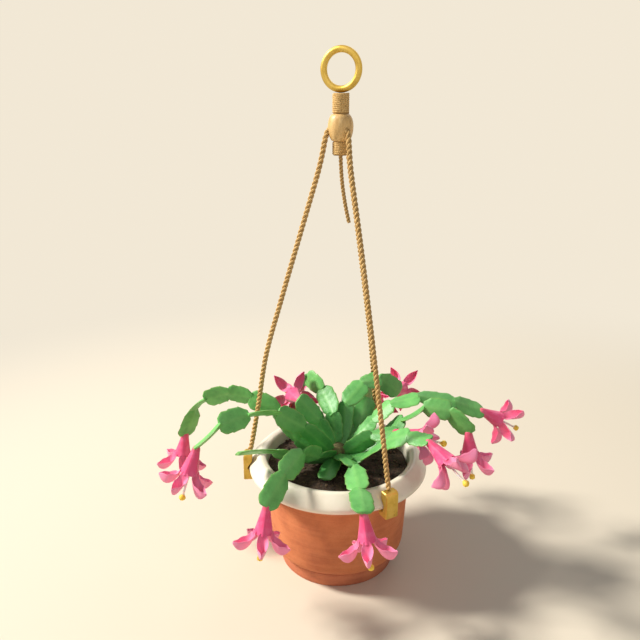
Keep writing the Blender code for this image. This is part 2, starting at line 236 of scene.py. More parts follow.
def make_lights():
    centre = (0, 0, BASE + 0.12)
    area_light("key", (-2.85, 0.30, 2.15), centre, 0.75, 225.0, (1.0, 0.96, 0.90))
    area_light("front_fill", (0.35, -1.6, 0.75), centre, 1.4, 4.5, (1.0, 0.98, 0.95))
    area_light("back_rim", (0.5, 1.3, 0.8), centre, 1.0, 3.0, (0.94, 0.97, 1.0))
    world = bpy.data.worlds.new("studio")
    bpy.context.scene.world = world
    world.use_nodes = True
    tree = world.node_tree
    tree.nodes.clear()
    paths = tree.nodes.new("ShaderNodeLightPath")
    seen = tree.nodes.new("ShaderNodeMath")
    seen.operation = "MAXIMUM"
    seen_more = tree.nodes.new("ShaderNodeMath")
    seen_more.operation = "MAXIMUM"
    soft = tree.nodes.new("ShaderNodeBackground")
    soft.inputs["Color"].default_value = (0.93, 0.95, 1.0, 1)
    soft.inputs["Strength"].default_value = 0.24
    shown = tree.nodes.new("ShaderNodeBackground")
    shown.inputs["Color"].default_value = (*BACKGROUND, 1)
    chosen = tree.nodes.new("ShaderNodeMixShader")
    output = tree.nodes.new("ShaderNodeOutputWorld")
    tree.links.new(paths.outputs["Is Camera Ray"], seen.inputs[0])
    tree.links.new(paths.outputs["Is Glossy Ray"], seen.inputs[1])
    tree.links.new(seen.outputs[0], seen_more.inputs[0])
    tree.links.new(paths.outputs["Is Transmission Ray"], seen_more.inputs[1])
    tree.links.new(seen_more.outputs[0], chosen.inputs["Fac"])
    tree.links.new(soft.outputs[0], chosen.inputs[1])
    tree.links.new(shown.outputs[0], chosen.inputs[2])
    tree.links.new(chosen.outputs[0], output.inputs["Surface"])
    scene = bpy.context.scene
    scene.view_settings.view_transform = "Standard"


def make_floor():
    """A disc that fades out into the background colour at its edge."""
    rings = [0.0, 0.3, 0.6, 1.0, 1.5, FLOOR_RADIUS]
    sides = 64
    points = [(0, 0, BASE)]
    for reach in rings[1:]:
        for side in range(sides):
            angle = 2 * math.pi * side / sides
            points.append((reach * math.cos(angle), reach * math.sin(angle), BASE))
    faces = [(0, 1 + side, 1 + (side + 1) % sides) for side in range(sides)]
    for row in range(len(rings) - 2):
        low, high = 1 + row * sides, 1 + (row + 1) * sides
        for side in range(sides):
            after = (side + 1) % sides
            faces.append((low + side, high + side, high + after, low + after))
    mesh = bpy.data.meshes.new("floor")
    mesh.from_pydata(points, [], faces)
    floor = bpy.data.objects.new("floor", mesh)
    bpy.context.scene.collection.objects.link(floor)
    material = bpy.data.materials.new("floor_paper")
    material.use_nodes = True
    tree = material.node_tree
    tree.nodes.clear()
    output = tree.nodes.new("ShaderNodeOutputMaterial")
    paper = tree.nodes.new("ShaderNodeBsdfDiffuse")
    paper.inputs["Color"].default_value = (0.74, 0.665, 0.535, 1)
    glow = tree.nodes.new("ShaderNodeEmission")
    glow.inputs["Color"].default_value = (*BACKGROUND, 1)
    blend = tree.nodes.new("ShaderNodeMixShader")
    place = tree.nodes.new("ShaderNodeTexCoord")
    distance = tree.nodes.new("ShaderNodeVectorMath")
    distance.operation = "LENGTH"
    fade = tree.nodes.new("ShaderNodeMapRange")
    fade.interpolation_type = "SMOOTHSTEP"
    fade.inputs["From Min"].default_value = FADE_START
    fade.inputs["From Max"].default_value = FADE_END
    centre = tree.nodes.new("ShaderNodeVectorMath")
    centre.operation = "SUBTRACT"
    centre.inputs[1].default_value = (0.1, -0.05, BASE)
    tree.links.new(place.outputs["Object"], centre.inputs[0])
    tree.links.new(centre.outputs[0], distance.inputs[0])
    tree.links.new(distance.outputs["Value"], fade.inputs["Value"])
    tree.links.new(fade.outputs["Result"], blend.inputs["Fac"])
    tree.links.new(paper.outputs[0], blend.inputs[1])
    tree.links.new(glow.outputs[0], blend.inputs[2])
    tree.links.new(blend.outputs[0], output.inputs["Surface"])
    mesh.materials.append(material)
    floor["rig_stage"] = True


# ---------------------------------------------------------------- materials


class Finish:
    """A Principled material with short calls for its procedural nodes."""

    def __init__(self, name, roughness, **sockets):
        self.material = bpy.data.materials.new(name)
        self.material.use_nodes = True
        self.tree = self.material.node_tree
        self.shader = self.tree.nodes["Principled BSDF"]
        self.shader.inputs["Roughness"].default_value = roughness
        for socket, value in sockets.items():
            self.shader.inputs[socket.replace("_", " ")].default_value = value
        self.place = self.tree.nodes.new("ShaderNodeTexCoord").outputs["Object"]

    def link(self, source, target):
        self.tree.links.new(source, target)

    def noise(self, scale, detail=4.0, roughness=0.55, stretch=(1, 1, 1)):
        mapping = self.tree.nodes.new("ShaderNodeMapping")
        mapping.inputs["Scale"].default_value = stretch
        self.link(self.place, mapping.inputs["Vector"])
        made = self.tree.nodes.new("ShaderNodeTexNoise")
        made.inputs["Scale"].default_value = scale
        made.inputs["Detail"].default_value = detail
        made.inputs["Roughness"].default_value = roughness
        self.link(mapping.outputs[0], made.inputs["Vector"])
        return made.outputs["Fac"]

    def cells(self, scale):
        made = self.tree.nodes.new("ShaderNodeTexVoronoi")
        made.inputs["Scale"].default_value = scale
        self.link(self.place, made.inputs["Vector"])
        return made.outputs["Distance"]

    def attribute(self, name):
        made = self.tree.nodes.new("ShaderNodeAttribute")
        made.attribute_name = name
        return made.outputs["Fac"]

    def ramp(self, source, stops):
        made = self.tree.nodes.new("ShaderNodeValToRGB")
        ramp = made.color_ramp
        while len(ramp.elements) < len(stops):
            ramp.elements.new(0.5)
        for element, (where, colour) in zip(ramp.elements, stops):
            element.position = where
            element.color = (*colour, 1.0)
        self.link(source, made.inputs["Fac"])
        return made.outputs["Color"]

    def share(self, source, low, high):
        made = self.tree.nodes.new("ShaderNodeMapRange")
        made.interpolation_type = "SMOOTHSTEP"
        made.inputs["From Min"].default_value = low
        made.inputs["From Max"].default_value = high
        self.link(source, made.inputs["Value"])
        return made.outputs["Result"]

    def mix(self, factor, first, second, blend="MIX"):
        made = self.tree.nodes.new("ShaderNodeMix")
        made.data_type = "RGBA"
        made.blend_type = blend
        if isinstance(factor, float):
            made.inputs[0].default_value = factor
        else:
            self.link(factor, made.inputs[0])
        for socket, value in ((made.inputs[6], first), (made.inputs[7], second)):
            if isinstance(value, tuple):
                socket.default_value = (*value, 1.0)
            else:
                self.link(value, socket)
        return made.outputs[2]

    def value(self, operation, first, second):
        made = self.tree.nodes.new("ShaderNodeMath")
        made.operation = operation
        for socket, value in zip(made.inputs, (first, second)):
            if isinstance(value, (int, float)):
                socket.default_value = value
            else:
                self.link(value, socket)
        return made.outputs[0]

    def colour(self, source):
        self.link(source, self.shader.inputs["Base Color"])

    def rough(self, source, low, high):
        made = self.tree.nodes.new("ShaderNodeMapRange")
        made.inputs["To Min"].default_value = low
        made.inputs["To Max"].default_value = high
        self.link(source, made.inputs["Value"])
        self.link(made.outputs["Result"], self.shader.inputs["Roughness"])

    def bump(self, *layers):
        """Layers of (height, depth in metres), one on another."""
        normal = None
        for height, depth in layers:
            made = self.tree.nodes.new("ShaderNodeBump")
            made.inputs["Strength"].default_value = 1.0
            made.inputs["Distance"].default_value = depth
            self.link(height, made.inputs["Height"])
            if normal is not None:
                self.link(normal, made.inputs["Normal"])
            normal = made.outputs["Normal"]
        self.link(normal, self.shader.inputs["Normal"])


def clay_finish(name, light, middle, dark):
    clay = Finish(name, 0.82)
    patches = clay.noise(38, 5, 0.6)
    rings = clay.noise(26, 3, 0.5, (0.06, 0.06, 9))
    grain = clay.noise(900, 4, 0.7)
    specks = clay.cells(520)
    body = clay.ramp(patches, [(0.30, dark), (0.52, middle), (0.74, light)])
    body = clay.mix(clay.value("MULTIPLY", clay.share(rings, 0.42, 0.62), 0.28), body, light)
    body = clay.mix(clay.value("MULTIPLY", clay.share(grain, 0.52, 0.75), 0.35), body, dark)
    pit = clay.value("SUBTRACT", 1.0, clay.share(specks, 0.04, 0.16))
    body = clay.mix(clay.value("MULTIPLY", pit, 0.45), body, (dark[0] * 0.45, dark[1] * 0.45, dark[2] * 0.5))
    clay.colour(body)
    clay.rough(patches, 0.72, 0.92)
    clay.bump((rings, 0.0006), (grain, 0.00022), (clay.share(specks, 0.02, 0.2), 0.00012))
    return clay.material


def glaze_finish():
    glaze = Finish("cream_glaze_look", 0.3, Coat_Weight=0.35, Coat_Roughness=0.18)
    clouds = glaze.noise(30, 4, 0.6)
    fine = glaze.noise(340, 3, 0.6)
    freckles = glaze.cells(260)
    body = glaze.ramp(clouds, [
        (0.3, (0.80, 0.725, 0.56)), (0.55, (0.87, 0.81, 0.66)), (0.8, (0.90, 0.86, 0.74)),
    ])
    spot = glaze.value("SUBTRACT", 1.0, glaze.share(freckles, 0.03, 0.11))
    body = glaze.mix(glaze.value("MULTIPLY", spot, 0.38), body, (0.42, 0.27, 0.13))
    # Painted shade: the rim darkens towards its bottom edge, on its underside.
    body = glaze.mix(glaze.value("MULTIPLY", glaze.attribute("worn"), 0.55), body, (0.60, 0.40, 0.24))
    glaze.colour(body)
    glaze.rough(clouds, 0.24, 0.4)
    glaze.bump((glaze.noise(70, 2, 0.4), 0.0006), (fine, 0.00006))
    return glaze.material


def soil_finish():
    soil = Finish("potting_soil_look", 0.95)
    clumps = soil.noise(240, 6, 0.7)
    grit = soil.noise(1500, 4, 0.7)
    body = soil.ramp(clumps, [
        (0.32, (0.012, 0.007, 0.004)), (0.5, (0.045, 0.026, 0.014)), (0.68, (0.105, 0.062, 0.034)),
    ])
    body = soil.mix(soil.attribute("tone"), body, (0.17, 0.105, 0.055))
    soil.colour(body)
    soil.bump((clumps, 0.0012), (grit, 0.0004))
    return soil.material


def brass_finish():
    brass = Finish("brass_look", 0.34, Metallic=1.0)
    clouds = brass.noise(90, 4, 0.6)
    scratches = brass.noise(700, 3, 0.6, (1, 1, 9))
    body = brass.ramp(clouds, [
        (0.3, (0.44, 0.28, 0.05)), (0.5, (0.60, 0.41, 0.09)), (0.75, (0.67, 0.48, 0.14)),
    ])
    tarnish = brass.value("MULTIPLY", brass.share(brass.noise(260, 5, 0.7), 0.58, 0.72), 0.5)
    body = brass.mix(tarnish, body, (0.26, 0.15, 0.04))
    brass.colour(body)
    brass.rough(scratches, 0.38, 0.55)
    brass.bump((scratches, 0.00005), (brass.noise(120, 2, 0.5), 0.0002))
    return brass.material


def rope_finish():
    rope = Finish("jute_look", 0.9)
    fibres = rope.noise(1400, 3, 0.6, (1, 1, 0.35))
    patches = rope.noise(80, 3, 0.5)
    body = rope.ramp(fibres, [
        (0.3, (0.36, 0.20, 0.06)), (0.5, (0.66, 0.42, 0.155)), (0.72, (0.82, 0.58, 0.27)),
    ])
    body = rope.mix(rope.value("MULTIPLY", rope.share(patches, 0.4, 0.7), 0.3), body, (0.52, 0.31, 0.10))
    # Painted shade: the jute is darkened in the hollows between the strands.
    body = rope.mix(rope.value("MULTIPLY", rope.attribute("worn"), 0.75), body, (0.24, 0.125, 0.035))
    rope.colour(body)
    rope.bump((fibres, 0.00025))
    return rope.material


def bead_finish():
    wood = Finish("bead_wood_look", 0.5, Coat_Weight=0.12, Coat_Roughness=0.3)
    grain = wood.noise(120, 4, 0.65, (3.2, 3.2, 0.35))
    pores = wood.noise(900, 3, 0.6, (1.6, 1.6, 0.16))
    body = wood.ramp(grain, [
        (0.3, (0.47, 0.27, 0.085)), (0.5, (0.70, 0.44, 0.165)), (0.7, (0.80, 0.54, 0.235)),
    ])
    body = wood.mix(wood.value("MULTIPLY", wood.share(pores, 0.56, 0.7), 0.5), body, (0.30, 0.155, 0.045))
    wood.colour(body)
    wood.bump((grain, 0.00012), (pores, 0.00007))
    return wood.material


def cladode_finish():
    green = Finish("cladode_green_look", 0.42, Subsurface_Weight=0.08, Subsurface_Scale=0.003)
    green.shader.inputs["Subsurface Radius"].default_value = (0.4, 1.0, 0.2)
    patches = green.noise(75, 4, 0.6)
    mottle = green.noise(700, 3, 0.6)
    body = green.ramp(patches, [
        (0.3, (0.095, 0.360, 0.075)), (0.52, (0.155, 0.500, 0.120)), (0.75, (0.220, 0.600, 0.155)),
    ])
    older = green.value("MULTIPLY", green.attribute("tone"), 0.75)
    body = green.mix(older, body, (0.050, 0.240, 0.060))
    rib = green.value("MULTIPLY", green.attribute("rib"), 0.42)
    body = green.mix(rib, body, (0.235, 0.560, 0.150))
    body = green.mix(green.value("MULTIPLY", green.share(mottle, 0.5, 0.7), 0.22), body, (0.20, 0.52, 0.13))
    edge = green.value("MULTIPLY", green.attribute("edge"), 0.55)
    body = green.mix(edge, body, (0.20, 0.33, 0.07))
    green.colour(body)
    green.rough(mottle, 0.36, 0.55)
    green.bump((patches, 0.0006), (mottle, 0.00010))
    return green.material


def crown_finish():
    bark = Finish("crown_wood_look", 0.9)
    plates = bark.noise(180, 5, 0.7, (1, 1, 0.4))
    body = bark.ramp(plates, [
        (0.3, (0.055, 0.040, 0.018)), (0.5, (0.15, 0.125, 0.05)), (0.72, (0.20, 0.26, 0.08)),
    ])
    bark.colour(body)
    bark.bump((plates, 0.0012), (bark.noise(900, 3, 0.6), 0.0003))
    return bark.material


def petal_finish():
    petal = Finish("petal_pink_look", 0.5, Subsurface_Weight=0.12, Subsurface_Scale=0.002, Sheen_Weight=0.15)
    petal.shader.inputs["Subsurface Radius"].default_value = (1.0, 0.3, 0.4)
    clouds = petal.noise(160, 3, 0.5)
    along = petal.attribute("along")
    body = petal.ramp(along, [
        (0.0, (0.72, 0.10, 0.17)), (0.12, (0.82, 0.065, 0.19)), (0.48, (0.86, 0.085, 0.25)),
        (0.60, (0.95, 0.24, 0.42)), (1.0, (0.95, 0.30, 0.48)),
    ])
    body = petal.mix(petal.value("MULTIPLY", petal.share(clouds, 0.45, 0.7), 0.3), body, (0.96, 0.30, 0.50))
    vein = petal.value("MULTIPLY", petal.attribute("vein"), 0.42)
    body = petal.mix(vein, body, (0.70, 0.025, 0.13))
    # Painted shade: the inside of the tube and the petals' back faces by the mouth are darkened.
    inner = petal.value("MULTIPLY", petal.attribute("inside"), 0.55)
    body = petal.mix(inner, body, (0.50, 0.018, 0.085))
    petal.colour(body)
    petal.rough(clouds, 0.42, 0.62)
    petal.bump((petal.attribute("vein"), 0.00025), (petal.noise(1200, 2, 0.5), 0.00005))
    return petal.material


def pistil_finish():
    pistil = Finish("stigma_yellow_look", 0.55, Subsurface_Weight=0.15, Subsurface_Scale=0.002)
    along = pistil.attribute("along")
    body = pistil.ramp(along, [
        (0.0, (0.86, 0.38, 0.50)), (0.45, (0.93, 0.62, 0.68)), (0.78, (0.95, 0.82, 0.80)),
        (0.90, (0.95, 0.62, 0.06)),
        (1.0, (0.96, 0.66, 0.07)),
    ])
    pistil.colour(body)
    pistil.bump((pistil.noise(2600, 3, 0.7), 0.00018))
    return pistil.material


# ---------------------------------------------------------------- mesh helpers


def add_piece(name, node, slot, points, faces, material, sharp=40.0, **attributes):
    """A shaded piece that stands for a CAD node, from points in millimetres."""
    mesh = bpy.data.meshes.new(name)
    mesh.from_pydata([to_frame(point) for point in points], [], faces)
    mesh.materials.append(material)
    mesh.shade_smooth()
    mesh.set_sharp_from_angle(angle=math.radians(sharp))
    for key, values in attributes.items():
        layer = mesh.attributes.new(key, "FLOAT", "POINT")
        layer.data.foreach_set("value", values)
    made = bpy.data.objects.new(name, mesh)
    bpy.context.scene.collection.objects.link(made)
    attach(made, "root")
    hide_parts(node)
    return made


def skin(rings, closed=False, first=0):
    """Faces of a tube through equal rings of points, with its ends capped unless it is closed."""
    rows, count = len(rings), len(rings[0])
    faces = []
    for row in range(rows if closed else rows - 1):
        low, high = first + row * count, first + (row + 1) % rows * count
        for column in range(count):
            after = (column + 1) % count
            faces.append((low + column, low + after, high + after, high + column))
    if not closed:
        faces.append(tuple(first + column for column in reversed(range(count))))
        faces.append(tuple(first + (rows - 1) * count + column for column in range(count)))
    return faces


def rounded(profile, reach, steps=4, closed=False):
    """The profile with each corner turned into a short arc that starts reach before it."""
    made = []
    count = len(profile)
    for index, corner in enumerate(profile):
        if not closed and index in (0, count - 1):
            made.append(corner)
            continue
        here = Vector(corner)
        before, after = Vector(profile[index - 1]), Vector(profile[(index + 1) % count])
        start = here + (before - here) * min(0.45, reach / (before - here).length)
        end = here + (after - here) * min(0.45, reach / (after - here).length)
        for step in range(steps + 1):
            t = step / steps
            made.append(tuple(start * (1 - t) ** 2 + here * 2 * t * (1 - t) + end * t * t))
    return made


def turned(profile, steps, ripple=0.0):
    """Points and faces of a solid of revolution; a profile that starts on the axis is closed by fans."""
    on_axis = profile[0][0] == 0
    walls = profile[1:-1] if on_axis else profile
    count = len(walls)
    points, faces = [], []
    for step in range(steps):
        angle = 2 * math.pi * step / steps
        for radius, height in walls:
            sway = ripple * noise.noise((math.cos(angle) * 2, math.sin(angle) * 2, height * 0.11))
            points.append(((radius + sway) * math.cos(angle), (radius + sway) * math.sin(angle), height))
    for step in range(steps):
        following = (step + 1) % steps
        for row in range(count - 1 if on_axis else count):
            above = (row + 1) % count
            faces.append((step * count + row, following * count + row,
                          following * count + above, step * count + above))
    if on_axis:
        first, last = len(points), len(points) + 1
        points += [(0, 0, profile[0][1]), (0, 0, profile[-1][1])]
        for step in range(steps):
            following = (step + 1) % steps
            faces.append((first, following * count, step * count))
            faces.append((last, step * count + count - 1, following * count + count - 1))
    return points, faces


def smooth_route(route, spacing):
    """Points about spacing apart on a Catmull-Rom curve through the route."""
    knots = [Vector(point) for point in route]
    knots = [knots[0] * 2 - knots[1]] + knots + [knots[-1] * 2 - knots[-2]]
    smooth = [knots[1]]
    for index in range(1, len(knots) - 2):
        before, start, end, after = knots[index - 1:index + 3]
        pieces = max(1, round((end - start).length / spacing))
        for piece in range(1, pieces + 1):
            t = piece / pieces
            smooth.append(0.5 * (2 * start + (end - before) * t
                                 + (2 * before - 5 * start + 4 * end - after) * t * t
                                 + (3 * start - before - 3 * end + after) * t ** 3))
    return smooth


def carried_axes(line):
    """Two axes across a line at each of its points, turning as little as they can."""
    axes = []
    side = Vector((0, 1, 0))
    for index, point in enumerate(line):
        along = (line[min(index + 1, len(line) - 1)] - line[max(index - 1, 0)]).normalized()
        side = (side - along * side.dot(along)).normalized()
        axes.append((side.copy(), along.cross(side)))
    return axes


# ---------------------------------------------------------------- hanger


def rope_mesh(line, diameter):
    """A rope of twisted strands that narrow at both ends, with a value that paints shade into the hollows
    between them.
    """
    strand_reach, strand_radius = diameter * 0.25, diameter * 0.255
    pitch = diameter * 2.6
    sides = 10
    axes = carried_axes(line)
    points, faces, worn = [], [], []
    travelled = [0.0]
    for before, point in zip(line, line[1:]):
        travelled.append(travelled[-1] + (point - before).length)
    for strand in range(STRANDS):
        rings = []
        for index, (point, (side, aside)) in enumerate(zip(line, axes)):
            turn = 2 * math.pi * (strand / STRANDS + travelled[index] / pitch)
            outward = side * math.cos(turn) + aside * math.sin(turn)
            across = aside * math.cos(turn) - side * math.sin(turn)
            close = min(travelled[index], travelled[-1] - travelled[index])
            radius = strand_radius * (0.72 + 0.28 * smoothstep(0, diameter * 0.3, close))
            centre = point + outward * strand_reach
            ring = []
            for column in range(sides):
                angle = 2 * math.pi * column / sides
                ring.append(centre + (outward * math.cos(angle) + across * math.sin(angle)) * radius)
                # Painted shade: each strand's inner side, in the hollows, is marked dark.
                worn.append(smoothstep(0.2, -0.9, math.cos(angle)))
            rings.append(ring)
        faces += skin(rings, first=len(points))
        points += [point for ring in rings for point in ring]
    return points, faces, worn


def free_cord(name, node, route, diameter, lead, material):
    """A rope on the CAD cord's route. lead is a first point that tucks the rope into what holds it."""
    line = smooth_route(([lead] if lead else []) + route, 0.9)
    points, faces, worn = rope_mesh(line, diameter)
    made = add_piece(name, node, "jute", points, faces, material, 60, worn=worn)


def make_hanger(rope, brass, wood):
    for side, (azimuth, longer) in CLIPS.items():
        turn = math.radians(azimuth)
        out = Vector((math.cos(turn), math.sin(turn), 0))
        route = [out * radius + Vector((0, 0, height)) for radius, height in CORD_ROUTES[side]]
        lead = out * 7.6 + Vector((0, 0, 384.6))
        free_cord("rope_" + side, "cord_" + side, route, CORD_DIAMETER, lead, rope)
        make_clip(side, turn, longer, brass)
    tail = [Vector(point) for point in TAIL_ROUTE]
    free_cord("rope_tail", "cord_tail", tail, TAIL_DIAMETER, Vector((0.2, 0, 366.0)), rope)
    make_ring(brass)
    points, faces = turned(rounded(BEAD_PROFILE, 2.2, 5), 72)
    add_piece("bead_turned", "bead", "bead_wood", points, faces, wood)
    make_whipping("collar_whipping", "upper_collar", 394.7, 410.3, 6.6, rope)
    make_whipping("sleeve_whipping", "lower_sleeve", 363.7, 374.6, 6.4, rope)


def make_whipping(name, node, low, high, radius, material):
    """Twine wound closely round a core."""
    twine = TWINE_RADIUS
    turns = round((high - low) / (twine * 1.9))
    pitch = (high - low - 2 * twine) / turns
    steps, sides = 40, 8
    points, faces = turned([(0, low + 0.2), (radius - twine * 1.1, low + 0.2),
                            (radius - twine * 1.1, high - 0.2), (0, high - 0.2)], 40)
    # Painted shade: the core, seen only between the turns, and each turn's inner side are marked dark.
    worn = [0.8] * len(points)
    rings = []
    for step in range(turns * steps + 1):
        angle = 2 * math.pi * step / steps
        outward = Vector((math.cos(angle), math.sin(angle), 0))
        centre = outward * (radius - twine) + Vector((0, 0, low + twine + pitch * step / steps))
        ring = []
        for column in range(sides):
            around = 2 * math.pi * column / sides
            ring.append(centre + (outward * math.cos(around) + Vector((0, 0, math.sin(around)))) * twine)
            worn.append(smoothstep(0.5, -0.4, math.cos(around)))
        rings.append(ring)
    faces += skin(rings, first=len(points))
    points += [Vector(point) for ring in rings for point in ring]
    add_piece(name, node, "jute", points, faces, material, 60, worn=worn)


def make_ring(material):
    rings = []
    steps, sides = 96, 24
    for step in range(steps):
        turn = 2 * math.pi * step / steps
        ring = []
        for column in range(sides):
            angle = 2 * math.pi * column / sides
            reach = RING_MAJOR + RING_TUBE * math.cos(angle)
            across, aside = reach * math.cos(turn), RING_TUBE * math.sin(angle)
            ring.append((across * math.cos(RING_YAW) - aside * math.sin(RING_YAW),
                         across * math.sin(RING_YAW) + aside * math.cos(RING_YAW),
                         RING_CENTRE_HEIGHT + reach * math.sin(turn)))
        rings.append(ring)
    points = [point for ring in rings for point in ring]
    add_piece("ring_brass", "hanging_ring", "brass", points, skin(rings, closed=True), material)


def make_clip(side, turn, longer, material):
    """A bent brass strap that hooks under the rim, with softened edges."""
    out = Vector((math.cos(turn), math.sin(turn), 0))
    aside = Vector((-math.sin(turn), math.cos(turn), 0))
    rings = []
    soft = 0.6
    for across, inset in ((-0.5, soft), (-0.5, 0.0), (0.5, 0.0), (0.5, soft)):
        sideways = across * (CLIP_WIDTH - (0.0 if inset else 2 * soft))
        section = [(radius, height - (longer if height < CLIP_FOOT else 0.0))
                   for radius, height in CLIP_SECTION]
        outline = rounded(section, 0.9, 3, closed=True)
        ring = []
        for index, (radius, height) in enumerate(outline):
            before, after = Vector(outline[index - 1]), Vector(outline[(index + 1) % len(outline)])
            run = (after - before).normalized()
            inward = Vector((-run.y, run.x)) * inset
            ring.append(out * (radius + inward.x) + aside * sideways + Vector((0, 0, height + inward.y)))
        rings.append(ring)
    points = [point for ring in rings for point in ring]
    add_piece("clip_brass_" + side, "clip_" + side, "brass", points, skin(rings), material, 30)


# ---------------------------------------------------------------- pot and soil


def make_pot(clay, saucer_clay, glaze, soil):
    points, faces = turned(rounded(POT_PROFILE, 2.6, 5), 144, 0.25)
    add_piece("pot_clay", "pot", "terracotta", points, faces, clay)
    points, faces = turned(rounded(SAUCER_PROFILE, 1.3, 4), 144, 0.15)
    add_piece("saucer_clay", "saucer", "saucer_clay", points, faces, saucer_clay)
    points, faces = turned(rounded(RIM_PROFILE, 2.6, 6, closed=True), 160, 0.2)
    # Painted shade on the rim's underside: darker towards its bottom edge.
    worn = [smoothstep(91.2, 89.4, point[2]) for point in points]
    add_piece("rim_glazed", "rim_band", "cream_glaze", points, faces, glaze, worn=worn)
    make_soil(soil)


def make_soil(material):
    """A lumpy surface over the soil body, strewn with crumbs."""
    draw = random.Random(11)
    profile = [(0, 19.3), (51.5, 19.3), (55.4, 22.2), (57.9, 60.0), (58.4, 89.4), (61.8, 89.4)]
    step = 1.15
    rows = int(SOIL_RADIUS / step)
    steps = 200
    points, faces, tone = [], [], []

    def top(x, y):
        place = Vector((x, y, 3.7))
        lumps = (0.8 * noise.fractal(place * 0.11, 1.0, 2.0, 3)
                 + 0.75 * noise.fractal(place * 0.5, 0.8, 2.1, 4))
        return SOIL_TOP - 0.9 + lumps + 0.6 * smoothstep(30, 8, math.hypot(x, y))

    for radius, height in profile[1:]:
        for side in range(steps):
            angle = 2 * math.pi * side / steps
            points.append((radius * math.cos(angle), radius * math.sin(angle), height))
    for row in range(rows):
        radius = (SOIL_RADIUS - 0.1) * (1 - row / rows)
        for side in range(steps):
            angle = 2 * math.pi * (side + 0.5 * (row % 2)) / steps
            x, y = radius * math.cos(angle), radius * math.sin(angle)
            points.append((x, y, top(x, y) - 0.8 * smoothstep(SOIL_RADIUS - 3, SOIL_RADIUS, radius)))
    loops = len(profile) - 1 + rows
    for row in range(loops - 1):
        for side in range(steps):
            after = (side + 1) % steps
            low, high = row * steps, (row + 1) * steps
            faces.append((low + side, low + after, high + after, high + side))
    bottom, centre = len(points), len(points) + 1
    points += [(0, 0, profile[0][1]), (0, 0, top(0, 0))]
    last = (loops - 1) * steps
    for side in range(steps):
        after = (side + 1) % steps
        faces.append((bottom, after, side))
        faces.append((centre, last + side, last + after))
    tone += [0.0] * len(points)
    for _ in range(520):
        reach, angle = 60.2 * math.sqrt(draw.random()), draw.uniform(0, 2 * math.pi)
        size = 0.55 + 1.5 * draw.random() ** 3
        add_crumb(points, faces, tone, (reach * math.cos(angle), reach * math.sin(angle)), size, top, draw)
    add_piece("soil_crumbly", "soil", "potting_soil", points, faces, material, 50, tone=tone)


def add_crumb(points, faces, tone, place, size, top, draw):
    """One lump of peat or bark, part sunk in the soil."""
    x, y = place
    centre = Vector((x, y, top(x, y) + size * 0.25))
    first = len(points)
    stretch = Vector((draw.uniform(0.7, 1.5), draw.uniform(0.7, 1.3), draw.uniform(0.5, 0.9)))
    spin = draw.uniform(0, math.pi)
    shade = 0.9 * draw.random() ** 3
    for corner in CRUMB_CORNERS:
        around = Vector(corner).normalized() * size * draw.uniform(0.75, 1.2)
        around = Vector((around.x * stretch.x, around.y * stretch.y, around.z * stretch.z))
        turned_x = around.x * math.cos(spin) - around.y * math.sin(spin)
        turned_y = around.x * math.sin(spin) + around.y * math.cos(spin)
        points.append(centre + Vector((turned_x, turned_y, around.z)))
        tone.append(shade)
    for face in CRUMB_FACES:
        faces.append(tuple(first + corner for corner in face))


def make_crown(material):
    """The plant's corky base, where all the stems start."""
    profile = rounded([(0, 95.2), (10.6, 95.4), (8.4, 98.5), (8.0, 108.0), (5.2, 111.0), (0, 111.9)], 2.5, 5)
    points, faces = turned(profile, 48)
    lumpy = []
    for point in points:
        place = Vector(point)
        out = Vector((place.x, place.y, 0))
        swell = 0.9 * noise.fractal(place * 0.35, 1.0, 2.0, 4)
        lumpy.append(place + (out.normalized() * swell if out.length > 1 else Vector()))
    add_piece("crown_corky", "crown", "crown_wood", lumpy, faces, material)


# ---------------------------------------------------------------- stems


def segment_frame(start, end, roll, before=None):
    along = (end - start).normalized()
    flat = along.cross(Vector((0, 0, 1))).normalized()
    upright = flat.cross(along)
    turn = math.radians(roll)
    wide = flat * math.cos(turn) + upright * math.sin(turn)
    if before is not None and wide.dot(before) < 0:
        wide = -wide
    return along, wide, wide.cross(along)


def segment_width(t, full, neck, end, teeth, shift):
    """Half width at t along a segment: narrow neck, wide belly with blunt teeth, squared-off end."""
    rise = smoothstep(-0.06, 0.34, t)
    fall = smoothstep(1.05, 0.80, t)
    body = neck + (full - neck) * rise
    body = end + (body - end) * fall if t > 0.5 else body
    tooth = (t * teeth + shift) % 1.0
    notch = smoothstep(0.12, 0.30, t) * smoothstep(1.02, 0.86, t)
    return body * (1 + notch * 0.09 * (tooth ** 1.5 - 0.55))


